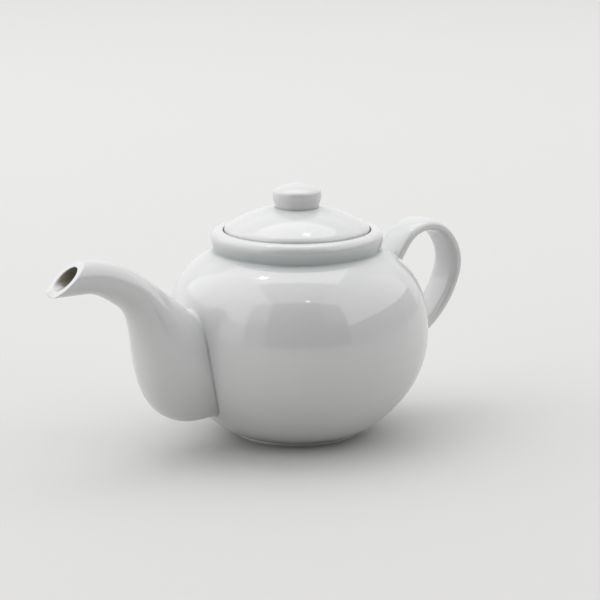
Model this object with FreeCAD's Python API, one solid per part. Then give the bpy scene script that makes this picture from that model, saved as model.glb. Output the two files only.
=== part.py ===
"""Globe teapot with a lift-off lid, in millimetres.

Origin at the centre of the foot on the table, +Z up, spout towards -X, handle towards +X.
The pot is built from its clay pieces: bowl (base, belly and shoulder), foot, collar,
strainer, spout, handle and the slip that lutes them together.
The lid is a dome, a locating flange and a knob.
"""
import FreeCAD, Part
import math
import os

V = FreeCAD.Vector

# Foot and bowl
FOOT_RADIUS = 36.2
FOOT_WIDTH = 5.6
FOOT_HEIGHT = 2.0
FOOT_CHAMFER = 0.5
BOWL_WALL = 4.0
BOWL_TOP = 107.0
BELLY_BOTTOM = 24.0
BELLY_TOP = 72.0
BOWL_OUTLINE = [
    (37.8, FOOT_HEIGHT),
    (47.9, 7.4),
    (59.0, 18.0),
    (69.2, 32.5),
    (74.9, 50.0),
    (75.0, 68.5),
    (70.2, 86.0),
    (60.2, 99.2),
    (47.9, BOWL_TOP),
]

# Collar round the mouth, with the ledge that the lid sits on
COLLAR_BORE = 39.5
COLLAR_BASE_RADIUS = 47.9
COLLAR_RADIUS = 49.2
COLLAR_TOP = 118.8
COLLAR_LIP = 2.8
GALLERY_RADIUS = 42.3
SEAT_HEIGHT = 115.2

# Lid
LID_GAP = 0.35
LID_CHAMFER = 0.6
LID_RADIUS = 41.5
LID_EDGE = 119.0
LID_APEX = 132.4
LID_DOME_RADIUS = 76.4
LID_SHOULDER_RADIUS = 39.6
LID_WALL = 4.0
FLANGE_RADIUS = 38.7
FLANGE_WALL = 3.4
FLANGE_BOTTOM = 106.0
VENT_DIAMETER = 4.0
VENT_REACH = 20.0
VENT_BEARING = 54.0

# Knob
KNOB_BASE_RADIUS = 12.75
KNOB_RADIUS = 13.95
KNOB_WAIST = 133.4
KNOB_EDGE = 139.2
KNOB_APEX = 144.8
KNOB_CROWN_REACH = 11.0
KNOB_CROWN_RADIUS = 27.0

# Spout: upper and lower points of each section on the middle plane, and half its width
SPOUT_SECTIONS = [
    ((-50.0, 80.0), (-50.0, 18.0), 18.5),
    ((-66.0, 79.0), (-66.0, 17.8), 19.3),
    ((-74.0, 80.0), (-79.0, 18.2), 19.8),
    ((-78.0, 83.5), (-94.0, 25.0), 19.6),
    ((-83.5, 88.4), (-104.5, 40.5), 18.0),
    ((-90.6, 94.3), (-109.0, 62.0), 15.5),
    ((-99.5, 101.4), (-113.5, 82.0), 12.3),
    ((-112.0, 109.8), (-122.5, 91.7), 10.7),
    ((-128.0, 116.0), (-134.0, 98.3), 9.6),
    ((-144.0, 118.4), (-144.5, 99.8), 9.5),
    ((-166.0, 119.2), (-166.0, 100.2), 9.8),
]
SPOUT_WALL_AT_BOWL = 4.0
SPOUT_WALL_AT_TIP = 3.4
TIP_POINT = (-152.5, 109.4)
TIP_SLOPE = 41.0
TIP_END = -161.5

# Strainer: the pierced part of the wall behind the spout
STRAINER_HEIGHT = 50.0
STRAINER_HALF_HEIGHT = 18.0
STRAINER_HALF_WIDTH = 11.5
STRAINER_HOLE = 4.0
STRAINER_PITCH = 6.4

# Handle: centre line of the strap, on the middle plane
HANDLE_LINE = [
    (58.0, 83.0),
    (66.0, 92.5),
    (75.4, 105.3),
    (86.5, 110.8),
    (98.5, 109.1),
    (108.6, 99.2),
    (112.2, 86.0),
    (107.8, 71.8),
    (98.4, 58.6),
    (84.6, 48.0),
    (66.0, 38.0),
]
HANDLE_HALF_THICKNESS = 3.55
HANDLE_HALF_WIDTH = 10.9
HANDLE_FULLNESS = 2.6

# Slip between the bowl and the pieces luted to it
SLIP_THICKNESS = 1.0
SLIP_SPREAD = 0.9

# Fineness of the lofted pieces
SECTION_POINTS = 16
SPOUT_STEPS = 15
HANDLE_STEPS = 17


def profilePoint(r, z):
    return V(r, 0, z)


def line(a, b):
    return Part.LineSegment(profilePoint(*a), profilePoint(*b)).toShape()


def arc(a, middle, b):
    return Part.Arc(profilePoint(*a), profilePoint(*middle), profilePoint(*b)).toShape()


def throughPoints(points):
    curve = Part.BSplineCurve()
    curve.interpolate([profilePoint(r, z) for r, z in points])
    return curve


def turned(edges):
    """Solid of revolution about Z of a closed outline of edges."""
    wire = Part.Wire(edges)
    return Part.Face(wire).revolve(V(0, 0, 0), V(0, 0, 1), 360)


def offsetOutline(points, distance):
    """Points moved along the outline's normal; positive distances lie outside the bowl."""
    curve = throughPoints(points)
    moved = []
    for r, z in points:
        tangent = curve.tangent(curve.parameter(profilePoint(r, z)))[0]
        moved.append((r + tangent.z * distance, z - tangent.x * distance))
    return moved


def bowlSkin():
    """Filled solid bounded by the outer face of the bowl."""
    return turned([
        throughPoints(BOWL_OUTLINE).toShape(),
        line(BOWL_OUTLINE[-1], (0, BOWL_TOP)),
        line((0, BOWL_TOP), (0, FOOT_HEIGHT)),
        line((0, FOOT_HEIGHT), BOWL_OUTLINE[0]),
    ])


def bowlSkinWithSlip():
    """The bowl's outer solid, grown by the thickness of the slip."""
    outline = offsetOutline(BOWL_OUTLINE, SLIP_THICKNESS)
    return turned([
        throughPoints(outline).toShape(),
        line(outline[-1], (0, outline[-1][1])),
        line((0, outline[-1][1]), (0, outline[0][1])),
        line((0, outline[0][1]), outline[0]),
    ])


def bowlShell():
    inner = offsetOutline(BOWL_OUTLINE, -BOWL_WALL)
    lip = (COLLAR_BASE_RADIUS - BOWL_WALL, BOWL_TOP)
    return turned([
        throughPoints(BOWL_OUTLINE).toShape(),
        line(BOWL_OUTLINE[-1], lip),
        line(lip, inner[-1]),
        throughPoints(inner).toShape(),
        line(inner[0], (0, inner[0][1])),
        line((0, inner[0][1]), (0, FOOT_HEIGHT)),
        line((0, FOOT_HEIGHT), BOWL_OUTLINE[0]),
    ])


def band(shape, bottom, top):
    """The part of a shape between two heights."""
    size = 400
    return shape.common(Part.makeBox(size, size, top - bottom, V(-size / 2, -size / 2, bottom)))


def footRing():
    inside = FOOT_RADIUS - FOOT_WIDTH
    corners = [
        (inside + FOOT_CHAMFER, 0),
        (FOOT_RADIUS - FOOT_CHAMFER, 0),
        (FOOT_RADIUS, FOOT_CHAMFER),
        (FOOT_RADIUS, FOOT_HEIGHT),
        (inside, FOOT_HEIGHT),
        (inside, FOOT_CHAMFER),
    ]
    return turned([line(a, b) for a, b in zip(corners, corners[1:] + corners[:1])])


def rimCollar():
    lipBottom = COLLAR_TOP - COLLAR_LIP
    lipMiddle = COLLAR_RADIUS - COLLAR_LIP
    bend = COLLAR_LIP * math.sqrt(0.5)
    innerLip = (GALLERY_RADIUS, COLLAR_TOP - 1.2)
    return turned([
        line((COLLAR_BORE, BOWL_TOP), (COLLAR_BASE_RADIUS, BOWL_TOP)),
        line((COLLAR_BASE_RADIUS, BOWL_TOP), (COLLAR_RADIUS, lipBottom)),
        arc((COLLAR_RADIUS, lipBottom), (lipMiddle + bend, lipBottom + bend), (lipMiddle, COLLAR_TOP)),
        arc((lipMiddle, COLLAR_TOP), (lipMiddle - 2.2, COLLAR_TOP - 0.25), innerLip),
        line(innerLip, (GALLERY_RADIUS, SEAT_HEIGHT)),
        line((GALLERY_RADIUS, SEAT_HEIGHT), (COLLAR_BORE, SEAT_HEIGHT)),
        line((COLLAR_BORE, SEAT_HEIGHT), (COLLAR_BORE, BOWL_TOP)),
    ])


def strainerPlug():
    """Elliptical plug along X that picks the pierced patch out of the bowl's wall."""
    ellipse = Part.Ellipse(V(0, 0, 0), STRAINER_HALF_HEIGHT, STRAINER_HALF_WIDTH)
    face = Part.Face(Part.Wire(ellipse.toShape()))
    face.rotate(V(0, 0, 0), V(0, 1, 0), -90)
    face.translate(V(-50, 0, STRAINER_HEIGHT))
    return face.extrude(V(-50, 0, 0))


def strainerHoles():
    holes = []
    for column in (-1, 0, 1):
        count = 5 if column == 0 else 4
        for i in range(count):
            z = STRAINER_HEIGHT + (i - (count - 1) / 2) * STRAINER_PITCH
            y = column * STRAINER_PITCH * 0.9
            holes.append(Part.makeCylinder(STRAINER_HOLE / 2, 60, V(-50, y, z), V(-1, 0, 0)))
    return holes


def ovalSection(centre, reach, side, fullness=2.0):
    """Closed oval wire about a centre, through the tips of two half axes.

    A fullness of 2 gives an ellipse; more than that fills out its corners.
    """
    points = []
    for i in range(SECTION_POINTS):
        angle = 2 * math.pi * i / SECTION_POINTS
        across, along = math.cos(angle), math.sin(angle)
        size = (abs(across) ** fullness + abs(along) ** fullness) ** (-1 / fullness)
        points.append(centre + reach * (across * size) + side * (along * size))
    curve = Part.BSplineCurve()
    curve.interpolate(points, PeriodicFlag=True)
    return Part.Wire(curve.toShape())


def spreadSpoutSections():
    """Spout sections at even steps along its middle: upper point, lower point, half width."""
    tops = [V(upper[0], 0, upper[1]) for upper, lower, halfWidth in SPOUT_SECTIONS]
    bottoms = [V(lower[0], 0, lower[1]) for upper, lower, halfWidth in SPOUT_SECTIONS]
    widths = [V(halfWidth, 0, 0) for upper, lower, halfWidth in SPOUT_SECTIONS]
    middles = [(top + bottom) * 0.5 for top, bottom in zip(tops, bottoms)]
    travel = [0.0]
    for before, after in zip(middles, middles[1:]):
        travel.append(travel[-1] + (after - before).Length)
    curves = []
    for points in (tops, bottoms, widths):
        curve = Part.BSplineCurve()
        curve.interpolate(points, Parameters=travel)
        curves.append(curve)
    steps = [travel[-1] * i / (SPOUT_STEPS - 1) for i in range(SPOUT_STEPS)]
    return [(curves[0].value(t), curves[1].value(t), curves[2].value(t).x) for t in steps]


def spoutBlank(shrinkAtBowl, shrinkAtTip):
    """Solid through the spout's sections, drawn in by one amount at the root and another at the tip."""
    wires = []
    for i, (top, bottom, halfWidth) in enumerate(spreadSpoutSections()):
        share = i / (SPOUT_STEPS - 1)
        shrink = shrinkAtBowl * (1 - share) + shrinkAtTip * share
        reach = (top - bottom) * 0.5
        reach = reach * ((reach.Length - shrink) / reach.Length)
        wires.append(ovalSection((top + bottom) * 0.5, reach, V(0, halfWidth - shrink, 0)))
    return Part.makeLoft(wires, True)


def beyondTip():
    """Block that takes away what lies past the sloping mouth of the spout."""
    size = 80
    block = Part.makeBox(size, size, size, V(-size / 2, -size / 2, 0))
    block.rotate(V(0, 0, 0), V(0, 1, 0), -TIP_SLOPE)
    block.translate(V(TIP_POINT[0], 0, TIP_POINT[1]))
    return block.fuse(Part.makeBox(size, size, size, V(TIP_END - size, -size / 2, TIP_POINT[1] - size / 2)))


def handleStrap(grow):
    """Oval strap along the handle's centre line."""
    curve = throughPoints(HANDLE_LINE)
    wires = []
    for centre in curve.discretize(Number=HANDLE_STEPS):
        tangent = curve.tangent(curve.parameter(centre))[0]
        outward = V(-tangent.z, 0, tangent.x) * (HANDLE_HALF_THICKNESS + grow)
        side = V(0, HANDLE_HALF_WIDTH + grow, 0)
        wires.append(ovalSection(centre, outward, side, HANDLE_FULLNESS))
    return Part.makeLoft(wires, True)


def capHeight(r, apex, radius):
    """Height at distance r from the axis of a spherical cap with this apex and radius."""
    return apex - radius + math.sqrt(radius ** 2 - r ** 2)


def capArc(a, b, apex, radius):
    """Arc of a spherical cap between two distances from the axis."""
    middle = (a + b) / 2
    return arc((a, capHeight(a, apex, radius)), (middle, capHeight(middle, apex, radius)),
               (b, capHeight(b, apex, radius)))


def undersideHeight(r):
    return capHeight(r, LID_APEX - LID_WALL, LID_DOME_RADIUS - LID_WALL)


def lidDome():
    shoulder = (LID_SHOULDER_RADIUS, capHeight(LID_SHOULDER_RADIUS, LID_APEX, LID_DOME_RADIUS))
    edge = (LID_RADIUS, LID_EDGE)
    bend = (LID_RADIUS - 0.45, (shoulder[1] + LID_EDGE) / 2 + 0.35)
    rest = SEAT_HEIGHT + LID_GAP
    inside = FLANGE_RADIUS - FLANGE_WALL
    underside = undersideHeight(inside)
    dome = turned([
        capArc(0, LID_SHOULDER_RADIUS, LID_APEX, LID_DOME_RADIUS),
        arc(shoulder, bend, edge),
        line(edge, (LID_RADIUS, rest + LID_CHAMFER)),
        line((LID_RADIUS, rest + LID_CHAMFER), (LID_RADIUS - LID_CHAMFER, rest)),
        line((LID_RADIUS - LID_CHAMFER, rest), (FLANGE_RADIUS, rest)),
        line((FLANGE_RADIUS, rest), (FLANGE_RADIUS, underside)),
        line((FLANGE_RADIUS, underside), (inside, underside)),
        capArc(inside, 0, LID_APEX - LID_WALL, LID_DOME_RADIUS - LID_WALL),
        line((0, LID_APEX - LID_WALL), (0, LID_APEX)),
    ])
    bearing = math.radians(VENT_BEARING)
    place = V(VENT_REACH * math.cos(bearing), VENT_REACH * math.sin(bearing), SEAT_HEIGHT)
    return dome.cut(Part.makeCylinder(VENT_DIAMETER / 2, 30, place))


def lidFlange():
    inside = FLANGE_RADIUS - FLANGE_WALL
    top = undersideHeight(inside)
    edge = FLANGE_BOTTOM + FLANGE_WALL / 2
    middle = (inside + FLANGE_WALL / 2, FLANGE_BOTTOM)
    return turned([
        line((inside, top), (FLANGE_RADIUS, top)),
        line((FLANGE_RADIUS, top), (FLANGE_RADIUS, edge)),
        arc((FLANGE_RADIUS, edge), middle, (inside, edge)),
        line((inside, edge), (inside, top)),
    ])


def lidKnob():
    foot = (KNOB_BASE_RADIUS, capHeight(KNOB_BASE_RADIUS, LID_APEX, LID_DOME_RADIUS))
    waist = (KNOB_BASE_RADIUS, KNOB_WAIST)
    edge = (KNOB_RADIUS, KNOB_EDGE)
    crown = (KNOB_CROWN_REACH, capHeight(KNOB_CROWN_REACH, KNOB_APEX, KNOB_CROWN_RADIUS))
    return turned([
        capArc(0, KNOB_BASE_RADIUS, LID_APEX, LID_DOME_RADIUS),
        line(foot, waist),
        arc(waist, (KNOB_RADIUS - 0.4, KNOB_EDGE - 2.8), edge),
        arc(edge, (KNOB_RADIUS - 0.65, KNOB_EDGE + 1.6), crown),
        capArc(KNOB_CROWN_REACH, 0, KNOB_APEX, KNOB_CROWN_RADIUS),
        line((0, KNOB_APEX), (0, LID_APEX)),
    ])


def oneSolid(shape):
    """The largest solid of a boolean result, without splitter edges."""
    solids = sorted(shape.Solids, key=lambda solid: solid.Volume)
    return solids[-1].removeSplitter()


def buildParts():
    skin = bowlSkin()
    skinWithSlip = bowlSkinWithSlip()
    shell = bowlShell()
    plug = strainerPlug()
    channel = spoutBlank(SPOUT_WALL_AT_BOWL, SPOUT_WALL_AT_TIP)
    spout = spoutBlank(0, 0).cut(channel).cut(beyondTip())
    spoutSlip = spoutBlank(-SLIP_SPREAD, -SLIP_SPREAD).cut(channel)
    strap = handleStrap(0).cut(skinWithSlip)
    strapSlip = handleStrap(SLIP_SPREAD).common(skinWithSlip).cut(skin)
    lowerSlip, upperSlip = sorted(strapSlip.Solids, key=lambda solid: solid.CenterOfMass.z)[-2:]
    patch = shell.common(plug)
    for hole in strainerHoles():
        patch = patch.cut(hole)
    return {
        "bowl_base": oneSolid(band(shell, FOOT_HEIGHT, BELLY_BOTTOM)),
        "bowl_belly": oneSolid(band(shell, BELLY_BOTTOM, BELLY_TOP).cut(plug)),
        "bowl_shoulder": oneSolid(band(shell, BELLY_TOP, BOWL_TOP)),
        "foot_ring": footRing(),
        "rim_collar": rimCollar(),
        "strainer": oneSolid(patch),
        "spout": oneSolid(spout.cut(skinWithSlip)),
        "spout_slip": oneSolid(spoutSlip.common(skinWithSlip).cut(skin)),
        "handle": oneSolid(strap),
        "handle_slip_upper": upperSlip,
        "handle_slip_lower": lowerSlip,
        "lid_dome": oneSolid(lidDome()),
        "lid_flange": lidFlange(),
        "lid_knob": lidKnob(),
    }


os.makedirs("parts", exist_ok=True)
for name, shape in buildParts().items():
    shape.exportStep("parts/" + name + ".step")
    box = shape.BoundBox
    print(name, "valid", shape.isValid(), "solids", len(shape.Solids), "volume", round(shape.Volume),
          "x", round(box.XMin, 1), round(box.XMax, 1), "y", round(box.YMin, 1), round(box.YMax, 1),
          "z", round(box.ZMin, 1), round(box.ZMax, 1))
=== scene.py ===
import math

import bmesh
import bpy
from mathutils import Matrix, Vector


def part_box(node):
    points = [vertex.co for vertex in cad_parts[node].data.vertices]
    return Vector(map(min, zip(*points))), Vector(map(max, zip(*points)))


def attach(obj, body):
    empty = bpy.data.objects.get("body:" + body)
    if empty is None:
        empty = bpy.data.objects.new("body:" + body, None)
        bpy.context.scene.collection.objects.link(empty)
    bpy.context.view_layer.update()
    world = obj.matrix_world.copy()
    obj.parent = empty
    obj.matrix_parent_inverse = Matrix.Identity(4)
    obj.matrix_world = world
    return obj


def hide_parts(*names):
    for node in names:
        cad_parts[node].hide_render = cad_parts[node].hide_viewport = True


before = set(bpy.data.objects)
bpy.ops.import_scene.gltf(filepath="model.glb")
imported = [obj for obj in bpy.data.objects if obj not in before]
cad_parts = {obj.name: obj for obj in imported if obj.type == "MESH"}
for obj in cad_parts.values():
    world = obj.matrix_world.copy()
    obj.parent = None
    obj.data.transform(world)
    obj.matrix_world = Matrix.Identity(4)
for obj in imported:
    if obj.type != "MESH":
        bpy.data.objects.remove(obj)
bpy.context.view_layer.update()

scene = bpy.context.scene
axisUp = Vector((0, 0, 1))
sideways = Vector((0, 1, 0))


# Curves. An outline is a list of (distance from the pot's axis, height) points, in metres.
def between(start, end, steps):
    return [start + (end - start) * i / steps for i in range(steps + 1)]


def blended(points, weights):
    total = points[0] * weights[0]
    for point, weight in zip(points[1:], weights[1:]):
        total = total + point * weight
    return total


def splineCage(points, sweeps=60):
    # control points of the even cubic spline that passes through the given points
    points = [Vector(p) for p in points]
    cage = [p.copy() for p in points]
    for sweep in range(sweeps):
        for i in range(1, len(points) - 1):
            cage[i] = (points[i] * 6 - cage[i - 1] - cage[i + 1]) / 4
    return [cage[0] * 2 - cage[1]] + cage + [cage[-1] * 2 - cage[-2]]


def splineAt(cage, t):
    # t runs from 0 to 1 along the whole spline
    spans = len(cage) - 3
    i = min(int(max(t, 0) * spans), spans - 1)
    u = t * spans - i
    weights = ((1 - u) ** 3, 3 * u ** 3 - 6 * u ** 2 + 4, -3 * u ** 3 + 3 * u ** 2 + 3 * u + 1, u ** 3)
    return blended(cage[i:i + 4], weights) / 6


def throughPoints(points, steps):
    cage = splineCage(points)
    return [splineAt(cage, t) for t in between(0, 1, steps)]


def bend(a, corner, b, steps=8):
    # rounded corner that leaves a and reaches b along the two sides of the corner
    a, corner, b = Vector(a), Vector(corner), Vector(b)
    return [a * (1 - u) ** 2 + corner * 2 * u * (1 - u) + b * u ** 2 for u in between(0, 1, steps)]


def roundedOutline(corners):
    # corners are (distance, height, size of the rounding); the two ends aren't rounded
    outline = [Vector(corners[0][:2])]
    for before, here, after in zip(corners, corners[1:], corners[2:]):
        corner = Vector(here[:2])
        if here[2] == 0:
            outline.append(corner)
            continue
        back = (Vector(before[:2]) - corner).normalized() * here[2]
        ahead = (Vector(after[:2]) - corner).normalized() * here[2]
        outline += bend(corner + back, corner, corner + ahead)
    return outline + [Vector(corners[-1][:2])]


def capOutline(start, end, apex, radius, steps):
    # cap of a ball whose top is at the apex, between two distances from the axis
    return [Vector((r, apex - radius + math.sqrt(radius ** 2 - r ** 2))) for r in between(start, end, steps)]


def inwards(outline, distance):
    # outline moved to its left, which is inwards for one that climbs the outside of the pot
    moved = []
    for i, point in enumerate(outline):
        along = (outline[min(i + 1, len(outline) - 1)] - outline[max(i - 1, 0)]).normalized()
        moved.append(point + Vector((-along.y, along.x)) * distance)
    return moved


def findPlace(measure, low, high, halvings=32):
    # where a measure that is below zero at low and above it at high passes through zero
    for halving in range(halvings):
        middle = (low + high) / 2
        if measure(middle) < 0:
            low = middle
        else:
            high = middle
    return (low + high) / 2


def smooth(low, high, x):
    share = min(max((x - low) / (high - low), 0), 1)
    return share * share * (3 - 2 * share)


def ringAngles(count):
    return [2 * math.pi * i / count for i in range(count)]


def fromTop(angle):
    # degrees between a ring's angle and its top, on either side
    return 180 - abs(math.degrees(angle) - 180)


# Meshes
def turned(outline, steps=192):
    bm = bmesh.new()
    points = [bm.verts.new((r, 0, z)) for r, z in outline]
    edges = [bm.edges.new(pair) for pair in zip(points, points[1:])]
    bmesh.ops.spin(bm, geom=points + edges, cent=(0, 0, 0), axis=axisUp, angle=2 * math.pi,
                   steps=steps, use_merge=True)
    bmesh.ops.remove_doubles(bm, verts=bm.verts, dist=1e-6)
    bmesh.ops.recalc_face_normals(bm, faces=bm.faces)
    return bm


def grown(runs, joined=True, layer=None, shades=None):
    # tube along runs of points, one run for each angle: a circle that is extruded ring by ring.
    # A joined tube bends back and closes on its first ring. The layer keeps a shade for every point.
    bm = bmesh.new()
    column = bm.verts.layers.int.new("column")
    shade = bm.verts.layers.float.new(layer) if layer else None

    def settle(vert, k):
        vert.co = runs[vert[column]][k]
        if layer:
            vert[shade] = shades[vert[column]][k]

    for i, vert in enumerate(bmesh.ops.create_circle(bm, segments=len(runs), radius=1)["verts"]):
        vert[column] = i
        settle(vert, 0)
    firstEdges = list(bm.edges)
    edges = firstEdges
    for k in range(1, len(runs[0])):
        fresh = bmesh.ops.extrude_edge_only(bm, edges=edges)["geom"]
        ring = {item for item in fresh if isinstance(item, bmesh.types.BMVert)}
        for vert in ring:
            settle(vert, k)
        edges = [item for item in fresh if isinstance(item, bmesh.types.BMEdge)
                 and ring.issuperset(item.verts)]
    if joined:
        bmesh.ops.bridge_loops(bm, edges=firstEdges + edges)
    else:
        bmesh.ops.edgeloop_fill(bm, edges=firstEdges)
        bmesh.ops.edgeloop_fill(bm, edges=edges)
    bmesh.ops.recalc_face_normals(bm, faces=bm.faces)
    return bm


def markSharp(bm, degrees):
    for face in bm.faces:
        face.smooth = True
    for edge in bm.edges:
        edge.smooth = edge.calc_face_angle(0) < math.radians(degrees)


def newPiece(name, bm, body, nodes, finish, poolShading=None, sharpFrom=50):
    # the function given gives how much glaze pools and painted shade darkens the colour, at a distance from
    # the axis and a height, from 0 to 1
    if poolShading:
        depth = bm.verts.layers.float.new("poolShade")
        for vert in bm.verts:
            vert[depth] = poolShading(math.hypot(vert.co.x, vert.co.y), vert.co.z)
    markSharp(bm, sharpFrom)
    mesh = bpy.data.meshes.new(name)
    bm.to_mesh(mesh)
    bm.free()
    mesh.materials.append(finish)
    piece = bpy.data.objects.new(name, mesh)
    scene.collection.objects.link(piece)
    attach(piece, body)
    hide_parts(*nodes)
    return piece


def nearCrease(crease, above=0, share=0):
    # thicker glaze and painted shade that gather in a crease all round the axis, with a share of the painted
    # shade thinning out up the wall above
    def depth(distance, height):
        away = (Vector((distance, height)) - Vector(crease)).length / glazeLook["creaseWidth"]
        upWall = share * (1 - smooth(0, above, height - crease[1])) if above and height > crease[1] else 0
        return max(math.exp(-away * away), upWall)
    return depth


def cutAway(piece, cutter, sharpFrom=35):
    # takes the cutter's shape out of a piece and leaves a plain mesh
    tool = bpy.data.objects.new("tool", bpy.data.meshes.new("tool"))
    cutter.to_mesh(tool.data)
    cutter.free()
    scene.collection.objects.link(tool)
    cut = piece.modifiers.new("cut", "BOOLEAN")
    cut.operation = "DIFFERENCE"
    cut.solver = "EXACT"
    cut.object = tool
    bpy.context.view_layer.update()
    whole = piece.evaluated_get(bpy.context.evaluated_depsgraph_get())
    bm = bmesh.new()
    bm.from_mesh(whole.to_mesh())
    whole.to_mesh_clear()
    piece.modifiers.clear()
    bpy.data.objects.remove(tool)
    markSharp(bm, sharpFrom)
    bm.to_mesh(piece.data)
    bm.free()


# Materials
class Value:
    # a socket that can stand in a sum
    def __init__(self, socket):
        self.socket = socket

    def math(self, operation, first, second):
        tree = self.socket.id_data
        node = tree.nodes.new("ShaderNodeMath")
        node.operation = operation
        for place, given in zip(node.inputs, (first, second)):
            if isinstance(given, Value):
                tree.links.new(given.socket, place)
            else:
                place.default_value = given
        return Value(node.outputs[0])

    def __add__(self, other):
        return self.math("ADD", self, other)

    def __sub__(self, other):
        return self.math("SUBTRACT", self, other)

    def __mul__(self, other):
        return self.math("MULTIPLY", self, other)

    def __radd__(self, other):
        return self.math("ADD", other, self)

    def __rsub__(self, other):
        return self.math("SUBTRACT", other, self)

    def __rmul__(self, other):
        return self.math("MULTIPLY", other, self)


class Finish:
    # the nodes of a material, or of the world's light
    def __init__(self, owner):
        owner.use_nodes = True
        self.owner = owner
        self.tree = owner.node_tree
        self.tree.nodes.clear()

    def node(self, kind, settings, sockets, output=0):
        node = self.tree.nodes.new(kind)
        for name, value in settings.items():
            setattr(node, name, value)
        for name, given in sockets.items():
            if isinstance(given, Value):
                self.tree.links.new(given.socket, node.inputs[name])
            elif node.inputs[name].type == "RGBA":
                node.inputs[name].default_value = (*given, 1)
            else:
                node.inputs[name].default_value = given
        return Value(node.outputs[output]) if node.outputs else None

    def place(self):
        return self.node("ShaderNodeTexCoord", {}, {}, "Object")

    def layer(self, name):
        return self.node("ShaderNodeAttribute", {"attribute_name": name}, {}, "Fac")

    def noise(self, grain, shift=(0, 0, 0)):
        # grain is the scale, detail and roughness
        scale, detail, roughness = grain
        moved = self.node("ShaderNodeMapping", {}, {"Vector": self.place(), "Location": shift})
        sockets = {"Vector": moved, "Scale": scale, "Detail": detail, "Roughness": roughness}
        return self.node("ShaderNodeTexNoise", {}, sockets)

    def mixed(self, share, first, second):
        sockets = {0: share, 6: first, 7: second}
        return self.node("ShaderNodeMix", {"data_type": "RGBA"}, sockets, 2)

    def bump(self, height):
        # height in metres
        return self.node("ShaderNodeBump", {}, {"Height": height, "Distance": 1.0, "Strength": 1.0})

    def surface(self, sockets):
        shader = self.node("ShaderNodeBsdfPrincipled", {}, sockets)
        self.node("ShaderNodeOutputMaterial", {}, {"Surface": shader})
        return self.owner


glazeLook = {
    "colour": (0.645, 0.647, 0.645),
    "cloudColour": (0.61, 0.615, 0.618),
    "clouds": (22, 4, 0.6),
    # colour where the glaze lies thick in creases and hollows, which also paints their shade
    "poolShadeColour": (0.33, 0.365, 0.37),
    "creaseWidth": 0.0011,      # how far from a crease the thicker glaze and painted shade thin out
    # brownish painted shade deep inside the spout's channel
    "channelShadeColour": (0.34, 0.32, 0.26),
    "roughness": 0.065,
    "roughnessSpread": 0.06,
    "smears": (48, 3, 0.5),
    "waves": (45, 1, 0.4),
    "waveHeight": 0.00006,
    "ripples": (420, 2, 0.5),
    "rippleHeight": 0.000004,
    "index": 1.75,
}


def makeGlaze(name, shift):
    look = glazeLook
    glaze = Finish(bpy.data.materials.new(name))
    clear = glaze.mixed(glaze.noise(look["clouds"], shift), look["colour"], look["cloudColour"])
    # darker where the glaze pools: thicker glaze and the painted shade of creases and hollows
    poolShaded = glaze.mixed(glaze.layer("poolShade"), clear, look["poolShadeColour"])
    # brownish painted shade deep inside the spout's channel
    colour = glaze.mixed(glaze.layer("channelShade"), poolShaded, look["channelShadeColour"])
    smears = glaze.noise(look["smears"], shift)
    waves = glaze.noise(look["waves"], shift)
    ripples = glaze.noise(look["ripples"], shift)
    height = waves * look["waveHeight"] + ripples * look["rippleHeight"]
    return glaze.surface({
        "Base Color": colour,
        "Roughness": smears * look["roughnessSpread"] + look["roughness"],
        "IOR": look["index"],
        "Normal": glaze.bump(height),
    })


clayLook = {
    "colour": (0.80, 0.785, 0.755),
    "speckColour": (0.64, 0.62, 0.58),
    "specks": (900, 3, 0.7),
    "grainHeight": 0.00003,
    "roughness": 0.78,
    "index": 1.5,
    "glazeLine": 0.0012,        # height at which the foot's glaze starts
    "glazeFade": 0.0004,        # height over which it comes in
    "wander": (90, 2, 0.5),
    "wanderHeight": 0.0008,
}


def makeBareClay():
    # unglazed where it touches the table, glazed above a line that wanders a little
    look = clayLook
    clay = Finish(bpy.data.materials.new("bareClay"))
    height = clay.node("ShaderNodeSeparateXYZ", {}, {"Vector": clay.place()}, "Z")
    wander = clay.noise(look["wander"]) * look["wanderHeight"]
    glazed = clay.node("ShaderNodeMapRange", {}, {
        "Value": height + wander,
        "From Min": look["glazeLine"],
        "From Max": look["glazeLine"] + look["glazeFade"],
    })
    specks = clay.noise(look["specks"])
    raw = clay.mixed(specks, look["speckColour"], look["colour"])
    grain = specks * look["grainHeight"] * (1 - glazed)
    return clay.surface({
        "Base Color": clay.mixed(glazed, raw, glazeLook["colour"]),
        "Roughness": look["roughness"] - glazed * (look["roughness"] - glazeLook["roughness"]),
        "IOR": look["index"],
        "Normal": clay.bump(grain),
    })


potGlaze = makeGlaze("potGlaze", (0, 0, 0))
bareClay = makeBareClay()
lidGlaze = makeGlaze("lidGlaze", (0.31, 0.17, 0.23))
print("finishes made")


# Bowl: one shell over the three bands of the frame's bowl
bowlNodes = ("bowl_base", "bowl_belly", "bowl_shoulder")
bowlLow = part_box("bowl_base")[0].z
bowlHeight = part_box("bowl_shoulder")[1].z - bowlLow
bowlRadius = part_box("bowl_belly")[1].x
bowlShape = {
    # shares of the bowl's radius and of its height, from the foot up
    "outline": [(0.500, 0), (0.634, 0.051), (0.780, 0.152), (0.915, 0.290), (0.991, 0.457),
                (0.992, 0.633), (0.929, 0.800), (0.796, 0.926), (0.634, 1)],
    "wall": 0.004,
    "steps": 96,
}
bowlSkin = throughPoints([(r * bowlRadius, bowlLow + z * bowlHeight) for r, z in bowlShape["outline"]],
                         bowlShape["steps"])


def skinRadius(height):
    for below, above in zip(bowlSkin, bowlSkin[1:]):
        if height < above.y:
            break
    return below.x + (above.x - below.x) * (height - below.y) / (above.y - below.y)


def outsideBowl(point):
    # how far out from the bowl's outer face a point is, measured level
    return math.hypot(point.x, point.y) - skinRadius(point.z)


def levelOut(point):
    return Vector((point.x, point.y, 0)).normalized()


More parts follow.
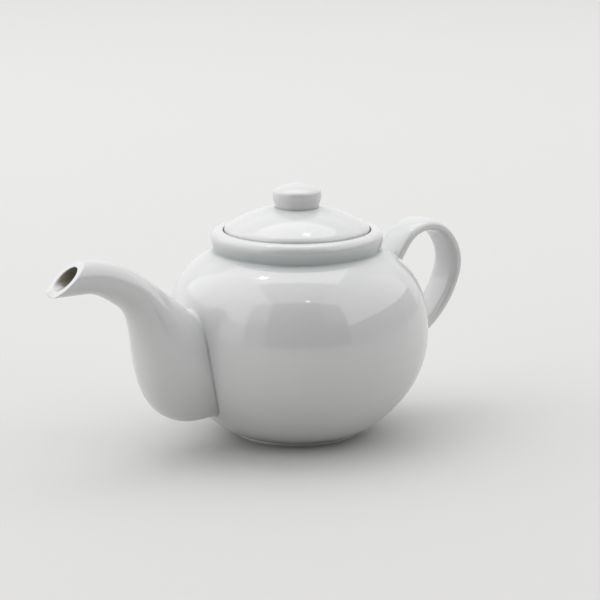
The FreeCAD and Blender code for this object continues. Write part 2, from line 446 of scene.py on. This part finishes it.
def ontoBowl(point):
    return levelOut(point) * skinRadius(point.z) + axisUp * point.z


def bowlNormal(point):
    step = 0.0005
    slope = (skinRadius(point.z + step) - skinRadius(point.z - step)) / (2 * step)
    return (levelOut(point) - axisUp * slope).normalized()


def buildBowl():
    inner = inwards(bowlSkin, bowlShape["wall"])
    outline = [Vector((0, bowlLow))] + bowlSkin + inner[::-1] + [Vector((0, inner[0].y))]
    # the top of the bowl darkens under the collar with thicker glaze and painted shade
    return newPiece("bowl", turned(outline), "pot", bowlNodes, potGlaze,
                    nearCrease(bowlSkin[-1]))


bowl = buildBowl()
print("bowl made")


# Foot
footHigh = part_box("foot_ring")[1]
footShape = {
    "width": 0.0056,
    "rounding": 0.0007,
    "overlap": 0.0004,          # how far it reaches into the bowl's base
}


def buildFoot():
    outside = footHigh.x
    inside = outside - footShape["width"]
    size = footShape["rounding"]
    top = footHigh.z + footShape["overlap"]
    outline = roundedOutline([
        (outside, top, 0), (inside, top, 0), (inside, 0, size), (outside, 0, size), (outside, top, 0)])
    newPiece("footRing", turned(outline), "pot", ("foot_ring",), bareClay)


buildFoot()


# Collar
collarLow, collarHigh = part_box("rim_collar")
collarShape = {
    "baseRadius": 0.0479,
    "foot": 0.0014,             # size of the hollow where the collar leaves the bowl
    "tuck": 0.001,              # how far its foot reaches under the bowl's skin
    "lip": 0.0054,              # size of the rounding outside the lip
    "lipStart": 0.0004,         # how far under that rounding the wall's straight part ends
    "lipLean": 0.0001,          # how far the lip leans out, and how far its top falls inwards
    "galleryEdge": 0.0007,
    "galleryRadius": 0.0423,
    "galleryCorner": 0.0006,
    "seat": 0.0036,             # depth of the ledge under the lip
    "boreEdge": 0.0008,
    "bore": 0.0395,
    "boreCorner": 0.0005,
    "shade": (0.0105, 0.90),    # height and share of the painted shade that reaches up the wall above the hollow
}


def buildCollar():
    shape = collarShape
    radius, top, bottom = collarHigh.x, collarHigh.z, collarLow.z
    shoulder = bowlSkin[-1]
    downhill = (bowlSkin[-3] - shoulder).normalized()
    ledge = top - shape["seat"]
    footStart = shoulder + downhill * shape["foot"]
    under = footStart - Vector((shape["tuck"], shape["tuck"]))
    wallHigh = Vector((radius, top - shape["lip"]))
    uphill = (wallHigh - Vector((shape["baseRadius"], bottom))).normalized()
    outline = [under] + bend(footStart, shoulder, shoulder + uphill * shape["foot"]) + roundedOutline([
        (wallHigh.x, wallHigh.y - shape["lipStart"], 0),
        (radius + shape["lipLean"], top, shape["lip"]),
        (shape["galleryRadius"], top - shape["lipLean"], shape["galleryEdge"]),
        (shape["galleryRadius"], ledge, shape["galleryCorner"]),
        (shape["bore"], ledge, shape["boreEdge"]),
        (shape["bore"], bottom, shape["boreCorner"]),
        (under.x, under.y, 0),
    ])
    # darker in the hollow at its foot and partway up its wall, with thicker glaze and painted shade
    newPiece("rimCollar", turned(outline), "pot", ("rim_collar",), potGlaze,
             nearCrease(shoulder, *shape["shade"]))


buildCollar()
print("collar and foot made")


# Lid
domeLow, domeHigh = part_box("lid_dome")
flangeLow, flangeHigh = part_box("lid_flange")
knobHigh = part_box("lid_knob")[1]
lidShape = {
    "domeRadius": 0.0764,
    "shoulder": 0.0396,         # distance from the axis at which the dome bends down to its rim
    "rimBend": (0.0002, 0.0012),    # how far in from the rim and below the dome that bend has its corner
    "edgeTop": 0.1188,
    "edgeBand": 0.001,          # height of the upright band under the bend
    "edgeRounding": 0.0008,
    "seatRounding": 0.0005,
    "wall": 0.004,
    "flangeWall": 0.0034,
    "flangeRounding": 0.0015,
    "vent": {"diameter": 0.004, "reach": 0.020, "bearing": 54, "cut": 0.03},
}
flangeInside = flangeHigh.x - lidShape["flangeWall"]


def buildDome():
    shape = lidShape
    radius, wall = shape["domeRadius"], shape["wall"]
    cap = capOutline(0, shape["shoulder"], domeHigh.z, radius, steps=40)
    under = capOutline(flangeInside, 0, domeHigh.z - wall, radius - wall, steps=30)
    rimIn, rimDown = shape["rimBend"]
    rim = bend(cap[-1], (domeHigh.x - rimIn, cap[-1].y - rimDown), (domeHigh.x, shape["edgeTop"]))
    outline = cap[:-1] + rim + roundedOutline([
        (domeHigh.x, shape["edgeTop"] - shape["edgeBand"], 0),
        (domeHigh.x, domeLow.z, shape["edgeRounding"]),
        (flangeHigh.x, domeLow.z, shape["seatRounding"]),
        (flangeHigh.x, under[0].y, 0),
        (under[0].x, under[0].y, 0),
    ]) + under[1:]
    return newPiece("lidDome", turned(outline), "lid", ("lid_dome",), lidGlaze)


def buildFlange():
    low, high, size = flangeLow.z, flangeHigh.z, lidShape["flangeRounding"]
    outline = roundedOutline([
        (flangeInside, high, 0), (flangeHigh.x, high, 0), (flangeHigh.x, low, size),
        (flangeInside, low, size), (flangeInside, high, 0)])
    newPiece("lidFlange", turned(outline), "lid", ("lid_flange",), lidGlaze)


knobShape = {
    # distance from the axis and height of the side, from the waist up
    "side": [(0.01290, 0.1334), (0.01365, 0.1360), (0.01395, 0.1380), (0.01385, 0.1396), (0.01325, 0.1411)],
    "base": 0.01275,
    "foot": 0.0004,             # size of the hollow where the knob leaves the dome
    "crownReach": 0.0110,
    "crownRadius": 0.0270,
}


def buildKnob():
    shape = knobShape
    seat = capOutline(0, shape["base"] + shape["foot"], domeHigh.z, lidShape["domeRadius"], steps=12)
    crown = capOutline(shape["crownReach"], 0, knobHigh.z, shape["crownRadius"], steps=24)
    corner = (shape["base"], seat[-1].y)
    foot = bend(seat[-1], corner, (corner[0], corner[1] + shape["foot"]))
    side = throughPoints([foot[-1], *shape["side"], crown[0]], steps=40)
    outline = seat[:-1] + foot + side[1:] + crown[1:]
    # darker in the crease at its foot, with thicker glaze and painted shade
    newPiece("lidKnob", turned(outline), "lid", ("lid_knob",), lidGlaze, nearCrease(corner))


lidDome = buildDome()
buildFlange()
buildKnob()
print("lid made")


# Spout. Each section has an upper and a lower point on the middle plane, and half its width.
spoutShape = {
    "sections": [
        ((-0.0500, 0.0800), (-0.0500, 0.0180), 0.0185),
        ((-0.0660, 0.0790), (-0.0660, 0.0178), 0.0193),
        ((-0.0740, 0.0800), (-0.0790, 0.0182), 0.0198),
        ((-0.0780, 0.0835), (-0.0940, 0.0250), 0.0196),
        ((-0.0835, 0.0884), (-0.1045, 0.0405), 0.0180),
        ((-0.0906, 0.0943), (-0.1090, 0.0620), 0.0155),
        ((-0.0995, 0.1014), (-0.1135, 0.0820), 0.0123),
        ((-0.1120, 0.1098), (-0.1225, 0.0917), 0.0107),
        ((-0.1280, 0.1160), (-0.1340, 0.0983), 0.0096),
        ((-0.1440, 0.1184), (-0.1445, 0.0998), 0.0095),
        ((-0.1550, 0.1189), (-0.1550, 0.1000), 0.0096),
        ((-0.1660, 0.1192), (-0.1660, 0.1002), 0.0098),
    ],
    "wallAtBowl": 0.0040,
    "wallAtMouth": 0.0034,
    "mouth": (-0.1525, 0, 0.1094),
    "mouthSlope": 41,
    "mouthEnd": -0.1615,        # where the tip is cut off upright
    "lip": 0.0006,              # size of the rounding on either side of the mouth's wall
    "lipShare": 0.48,           # most of the wall that each of the two takes
    "columns": 96,
    "rings": 60,
    "rootSpan": (0, 0.45),      # shares of the spout's length among which its seam lies
    "mouthSpan": (0.5, 1),
    "depthInWall": 0.0018,
    "shadeReach": 0.0012,       # how far inside the mouth the painted shade takes to reach its full depth
    "litFloor": 0.0050,       # how much farther in the painted shade starts along the channel's floor, where light falls
    "floorAngles": (115, 160),  # degrees from the top between which the channel's side becomes its floor
}
upperCage = splineCage([(top[0], 0, top[1]) for top, bottom, halfWidth in spoutShape["sections"]])
lowerCage = splineCage([(bottom[0], 0, bottom[1]) for top, bottom, halfWidth in spoutShape["sections"]])
widthCage = splineCage([(halfWidth, 0) for top, bottom, halfWidth in spoutShape["sections"]])
mouthSlope = math.radians(spoutShape["mouthSlope"])
mouthNormal = Vector((-math.sin(mouthSlope), 0, math.cos(mouthSlope)))
mouthPoint = Vector(spoutShape["mouth"])


def spoutPoint(t, angle, inside=0):
    # point on the spout's outer face, or on its channel when inside is 1; angle 0 is the top
    top, bottom = splineAt(upperCage, t), splineAt(lowerCage, t)
    wall = (spoutShape["wallAtBowl"] * (1 - t) + spoutShape["wallAtMouth"] * t) * inside
    reach = (top - bottom) / 2
    reach *= (reach.length - wall) / reach.length
    halfWidth = splineAt(widthCage, t).x - wall
    return (top + bottom) / 2 + reach * math.cos(angle) + sideways * halfWidth * math.sin(angle)


def spoutRoot(angle, inside=0, out=0):
    return findPlace(lambda t: outsideBowl(spoutPoint(t, angle, inside)) - out, *spoutShape["rootSpan"])


def pastMouth(point):
    return max((point - mouthPoint).dot(mouthNormal), spoutShape["mouthEnd"] - point.x)


def spoutMouth(angle, inside=0, short=0):
    return findPlace(lambda t: pastMouth(spoutPoint(t, angle, inside)) + short, *spoutShape["mouthSpan"])


def buildSpout():
    shape = spoutShape
    sunk = -shape["depthInWall"]
    runs, channelShades = [], []
    for angle in ringAngles(shape["columns"]):
        faceSpan = between(spoutRoot(angle, 0, sunk), spoutMouth(angle, 0, shape["lip"]), shape["rings"])
        channelSpan = between(spoutMouth(angle, 1, shape["lip"]), spoutRoot(angle, 1, sunk), shape["rings"])
        face = [spoutPoint(t, angle) for t in faceSpan]
        channel = [spoutPoint(t, angle, 1) for t in channelSpan]
        outer = spoutPoint(spoutMouth(angle), angle)
        inner = spoutPoint(spoutMouth(angle, 1), angle, 1)
        wall = inner - outer
        across = wall.normalized() * min(shape["lip"], wall.length * shape["lipShare"])
        outerLip = bend(face[-1], outer, outer + across)
        innerLip = bend(inner - across, inner, channel[0])
        plain = face[:-1] + outerLip + innerLip[:-1]
        # the painted shade starts farther in along the channel's floor, where light falls
        litReach = shape["litFloor"] * smooth(*shape["floorAngles"], fromTop(angle))
        runs.append(plain + channel)
        channelShades.append([0] * len(plain)
                      + [smooth(0, shape["shadeReach"], -pastMouth(point) - litReach) for point in channel])
    bm = grown(runs, layer="channelShade", shades=channelShades)
    newPiece("spout", bm, "pot", ("spout",), potGlaze)


buildSpout()
print("spout made")


# Handle: a strap along a line on the middle plane
handleShape = {
    "line": [(0.0580, 0.0830), (0.0660, 0.0925), (0.0754, 0.1053), (0.0865, 0.1108), (0.0985, 0.1091),
             (0.1086, 0.0992), (0.1122, 0.0860), (0.1078, 0.0718), (0.0984, 0.0586), (0.0846, 0.0480),
             (0.0660, 0.0380)],
    "halfThickness": 0.00355,
    "halfWidth": 0.0109,
    "fullness": 2.6,            # 2 gives an oval strap, more fills out its edges
    "columns": 56,
    "rings": 96,
    "upperSpan": (0.005, 0.35),     # shares of the line's length among which its upper seam lies
    "lowerSpan": (0.65, 0.995),
    "depthInWall": 0.0018,
}
handleCage = splineCage([(x, 0, z) for x, z in handleShape["line"]])


def handlePoint(t, angle):
    step = 0.001
    along = splineAt(handleCage, t + step) - splineAt(handleCage, t - step)
    outward = Vector((-along.z, 0, along.x)).normalized()
    fullness = handleShape["fullness"]
    share = (abs(math.cos(angle)) ** fullness + abs(math.sin(angle)) ** fullness) ** (-1 / fullness)
    return (splineAt(handleCage, t) + outward * handleShape["halfThickness"] * math.cos(angle) * share
            + sideways * handleShape["halfWidth"] * math.sin(angle) * share)


def handleRoot(angle, upper, out=0):
    sense = 1 if upper else -1
    span = handleShape["upperSpan"] if upper else handleShape["lowerSpan"]
    return findPlace(lambda t: sense * (outsideBowl(handlePoint(t, angle)) - out), *span)


def buildHandle():
    shape = handleShape
    sunk = -shape["depthInWall"]
    runs = []
    for angle in ringAngles(shape["columns"]):
        span = between(handleRoot(angle, True, sunk), handleRoot(angle, False, sunk), shape["rings"])
        runs.append([handlePoint(t, angle) for t in span])
    newPiece("handle", grown(runs, joined=False), "pot", ("handle",), potGlaze)


buildHandle()
print("handle made")


# Slip that lutes the spout and the handle to the bowl: a hollow fillet along each seam
slipShape = {
    "spoutTop": 0.0042,         # how far the fillet spreads over the spout, and at its sides and below
    "spoutSides": 0.0016,
    "spreadAngles": (8, 62),    # degrees from the top between which the first gives way to the second
    # share of colour darkened in the spout's hollow by thicker glaze and painted shade
    "spoutPoolShade": 0.9,
    "poolShadeAngles": (20, 70),     # degrees from the top between which the thicker glaze and painted shade on it reach their full depth
    "spoutColumns": 160,
    "handle": 0.0030,
    # the same for the handle's hollows
    "handlePoolShade": 0.4,
    "handleColumns": 72,
    "search": 0.2,              # share of the luted piece's length within which the fillet ends
    "pull": (0.38, 0.86),       # how near the seam the hollow's control points lie, from its edges in
    "steps": 14,
    "depthInWall": 0.0009,
}


def facing(direction, guide):
    return -direction if direction.dot(guide) < 0 else direction


def buildSlip(name, node, count, surface, root, away, spread, poolShading):
    # surface(t, angle) is the luted piece's face, root(angle) its seam, away the sense of t from the bowl
    shape = slipShape
    deep, steps = shape["depthInWall"], shape["steps"]
    along = away * shape["search"]
    angles = ringAngles(count)
    roots = [root(angle) for angle in angles]
    seam = [surface(start, angle) for start, angle in zip(roots, angles)]
    middle = sum(seam, Vector()) / count
    runs, shades = [], []
    for i, (angle, start, corner) in enumerate(zip(angles, roots, seam)):
        size = spread(angle)
        reached = findPlace(lambda s: (surface(start + along * s, angle) - corner).length - size, 0, 1)
        onPiece = surface(start + along * reached, angle)
        tangent = (seam[(i + 1) % count] - seam[i - 1]).normalized()
        normal = bowlNormal(corner)
        out = facing(normal.cross(tangent).normalized(), corner - middle)
        onBowl = ontoBowl(corner + out * size)
        pieceNormal = facing(tangent.cross(onPiece - corner).normalized(), out)
        stations = [onPiece] + [onPiece.lerp(corner, pull) for pull in shape["pull"]]
        stations += [onBowl.lerp(corner, pull) for pull in reversed(shape["pull"])] + [onBowl]
        curve = [blended(stations, [math.comb(5, j) * (1 - u) ** (5 - j) * u ** j for j in range(6)])
                 for u in between(0, 1, steps)]
        curve += [onBowl - normal * deep, corner - normal * deep - pieceNormal * deep,
                  onPiece - pieceNormal * deep]
        runs.append(curve)
        # darkest in the middle of the hollow with thicker glaze and painted shade, none at its edges
        shades.append([poolShading(angle) * math.sin(math.pi * min(k, steps) / steps) ** 2
                       for k in range(len(curve))])
    newPiece(name, grown(runs, layer="poolShade", shades=shades), "pot", (node,), potGlaze)


def spoutSpread(angle):
    share = smooth(*slipShape["spreadAngles"], fromTop(angle))
    return slipShape["spoutTop"] * (1 - share) + slipShape["spoutSides"] * share


def spoutPoolShade(angle):
    return smooth(*slipShape["poolShadeAngles"], fromTop(angle)) * slipShape["spoutPoolShade"]


def buildHandleSlip(name, node, upper, away):
    buildSlip(name, node, slipShape["handleColumns"], handlePoint,
              lambda angle: handleRoot(angle, upper), away,
              lambda angle: slipShape["handle"], lambda angle: slipShape["handlePoolShade"])


buildSlip("spoutSlip", "spout_slip", slipShape["spoutColumns"], spoutPoint, spoutRoot, 1,
          spoutSpread, spoutPoolShade)
buildHandleSlip("handleSlipUpper", "handle_slip_upper", True, 1)
buildHandleSlip("handleSlipLower", "handle_slip_lower", False, -1)
print("slips made")


# Strainer: the carried-over node shows through a window in the bowl's wall
strainerLow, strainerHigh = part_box("strainer")
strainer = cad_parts["strainer"]
strainer.data.materials.clear()
strainer.data.materials.append(potGlaze)
strainerWindow = {
    "middle": -0.075,           # along the spout's direction
    "depth": 0.05,
}


def cutStrainerWindow():
    halfHeight = (strainerHigh.z - strainerLow.z) / 2
    middle = Vector((strainerWindow["middle"], 0, (strainerHigh.z + strainerLow.z) / 2))
    bm = bmesh.new()
    bmesh.ops.create_cone(bm, cap_ends=True, segments=64, radius1=1, radius2=1, depth=1)
    bmesh.ops.rotate(bm, verts=bm.verts, cent=(0, 0, 0), matrix=Matrix.Rotation(math.pi / 2, 3, "Y"))
    bmesh.ops.scale(bm, verts=bm.verts, vec=(strainerWindow["depth"], strainerHigh.y, halfHeight))
    bmesh.ops.translate(bm, verts=bm.verts, vec=middle)
    cutAway(bowl, bm)


def cutVent():
    vent = lidShape["vent"]
    bearing = math.radians(vent["bearing"])
    place = Vector((math.cos(bearing), math.sin(bearing), 0)) * vent["reach"]
    bm = bmesh.new()
    bmesh.ops.create_cone(bm, cap_ends=True, segments=32, radius1=vent["diameter"] / 2,
                          radius2=vent["diameter"] / 2, depth=vent["cut"])
    bmesh.ops.translate(bm, verts=bm.verts, vec=place + axisUp * domeHigh.z)
    cutAway(lidDome, bm)


cutStrainerWindow()
cutVent()
print("openings cut")


# Floor, lights and camera
studio = {
    "floorColour": (0.585, 0.582, 0.573),
    "floorRoughness": 0.8,
    "floorRadius": 2.68,
    "backdrop": (0.82, 0.82, 0.815),
    "ambient": 0.02,
}


def buildFloor():
    bm = bmesh.new()
    bmesh.ops.create_circle(bm, cap_ends=True, segments=96, radius=studio["floorRadius"])
    mesh = bpy.data.meshes.new("floor")
    bm.to_mesh(mesh)
    bm.free()
    paint = Finish(bpy.data.materials.new("floorPaint"))
    mesh.materials.append(paint.surface({
        "Base Color": studio["floorColour"], "Roughness": studio["floorRoughness"]}))
    floor = bpy.data.objects.new("floor", mesh)
    scene.collection.objects.link(floor)


def viewAxes(azimuth, elevation):
    # right, up, and back towards the viewer
    a, e = math.radians(azimuth), math.radians(elevation)
    back = Vector((math.sin(a) * math.cos(e), -math.cos(a) * math.cos(e), math.sin(e)))
    right = Vector((math.cos(a), math.sin(a), 0))
    return right, back.cross(right), back


def aimed(place, axes):
    # object matrix that looks along the third axis, backwards
    matrix = Matrix(axes).transposed().to_4x4()
    matrix.translation = place
    return matrix


# A light tent of diffusing panels round the pot, squared up to the camera and open in front of it.
# Each panel has its place (right, towards the camera, up), the way it faces, its width, height and glow.
tent = {
    "ceilingFront": ((0, 1.3, 3.6), (0, 0, -1), 3.0, 2.6, 0.95),
    "ceilingBack": ((0, -1.35, 3.6), (0, 0, -1), 3.0, 2.7, 2.15),
    "ceilingLeft": ((-2.1, -0.05, 3.6), (0, 0, -1), 1.2, 5.3, 1.80),
    "ceilingRight": ((2.1, -0.05, 3.6), (0, 0, -1), 1.2, 5.3, 1.30),
    "leftHigh": ((-2.7, -0.05, 2.3), (1, 0, 0), 5.3, 2.6, 1.80),
    "leftLow": ((-2.7, -0.05, 0.5), (1, 0, 0), 5.3, 1.0, 1.10),
    "rightHigh": ((2.7, -0.05, 2.3), (-1, 0, 0), 5.3, 2.6, 1.50),
    "rightLow": ((2.7, -0.05, 0.5), (-1, 0, 0), 5.3, 1.0, 0.45),
    "backHigh": ((0, -2.7, 2.6), (0, 1, 0), 5.4, 2.0, 1.15),
    "backLow": ((0, -2.7, 0.8), (0, 1, 0), 5.4, 1.6, 0.95),
    "flapLeftHigh": ((-2.0, 2.6, 2.4), (0, -1, 0), 1.4, 2.4, 0.85),
    "flapLeftLow": ((-2.0, 2.6, 0.6), (0, -1, 0), 1.4, 1.2, 0.45),
    "flapRightHigh": ((2.0, 2.6, 2.4), (0, -1, 0), 1.4, 2.4, 0.40),
    "flapRightLow": ((2.0, 2.6, 0.6), (0, -1, 0), 1.4, 1.2, 0.08),
}
# Lamps seen through the cloth: azimuth counted from the camera's, elevation, size and glow of the spot
lampSpots = {
    "spotLeft": (-125, 70, 0.20, 8),
    "spotRight": (165, 69, 0.18, 4),
    "spotFront": (14, 55, 0.12, 10),
}
spotDistance = 3


def addPanel(name, place, axes, width, height, glow):
    lamp = bpy.data.lights.new(name, "AREA")
    lamp.shape = "RECTANGLE"
    lamp.size = width
    lamp.size_y = height
    lamp.energy = math.pi * width * height * glow
    panel = bpy.data.objects.new(name, lamp)
    scene.collection.objects.link(panel)
    panel.matrix_world = aimed(place, axes)
    panel.visible_camera = False


def addTent():
    right, _, back = viewAxes(cameraPlace["azimuth"], 0)

    def inTent(steps):
        return right * steps[0] + back * steps[1] + axisUp * steps[2]

    for name, (place, faces, width, height, glow) in tent.items():
        behind = -inTent(faces)
        upright = back if faces[2] else axisUp
        addPanel(name, inTent(place), (upright.cross(behind), upright, behind), width, height, glow)
    for name, (azimuth, elevation, size, glow) in lampSpots.items():
        axes = viewAxes(cameraPlace["azimuth"] + azimuth, elevation)
        addPanel(name, Vector(cameraPlace["target"]) + axes[2] * spotDistance, axes, size, size, glow)


def addWorld():
    # dim light from all round, and a pale backdrop behind the floor
    world = bpy.data.worlds.new("studio")
    scene.world = world
    sky = Finish(world)
    seen = sky.node("ShaderNodeLightPath", {}, {}, "Is Camera Ray")
    glow = sky.node("ShaderNodeBackground", {}, {
        "Color": studio["backdrop"], "Strength": seen * (1 - studio["ambient"]) + studio["ambient"]})
    sky.node("ShaderNodeOutputWorld", {}, {"Surface": glow})


cameraPlace = {
    "azimuth": -36,
    "elevation": 13.3,
    "distance": 1.3,
    "lens": 135.4,
    "sensor": 36,
    "clipStart": 0.05,
    "target": (0, 0, 0.06),
    "slide": (0.00173, 0.0164),     # to the right and up
}


def addCamera():
    right, above, back = viewAxes(cameraPlace["azimuth"], cameraPlace["elevation"])
    lens = bpy.data.cameras.new("camera")
    lens.lens = cameraPlace["lens"]
    lens.sensor_width = cameraPlace["sensor"]
    lens.clip_start = cameraPlace["clipStart"]
    camera = bpy.data.objects.new("camera", lens)
    scene.collection.objects.link(camera)
    slide = right * cameraPlace["slide"][0] + above * cameraPlace["slide"][1]
    place = Vector(cameraPlace["target"]) + back * cameraPlace["distance"] + slide
    camera.matrix_world = aimed(place, (right, above, back))
    scene.camera = camera


buildFloor()
addTent()
addWorld()
addCamera()
scene.view_settings.view_transform = "Standard"
print("studio made")
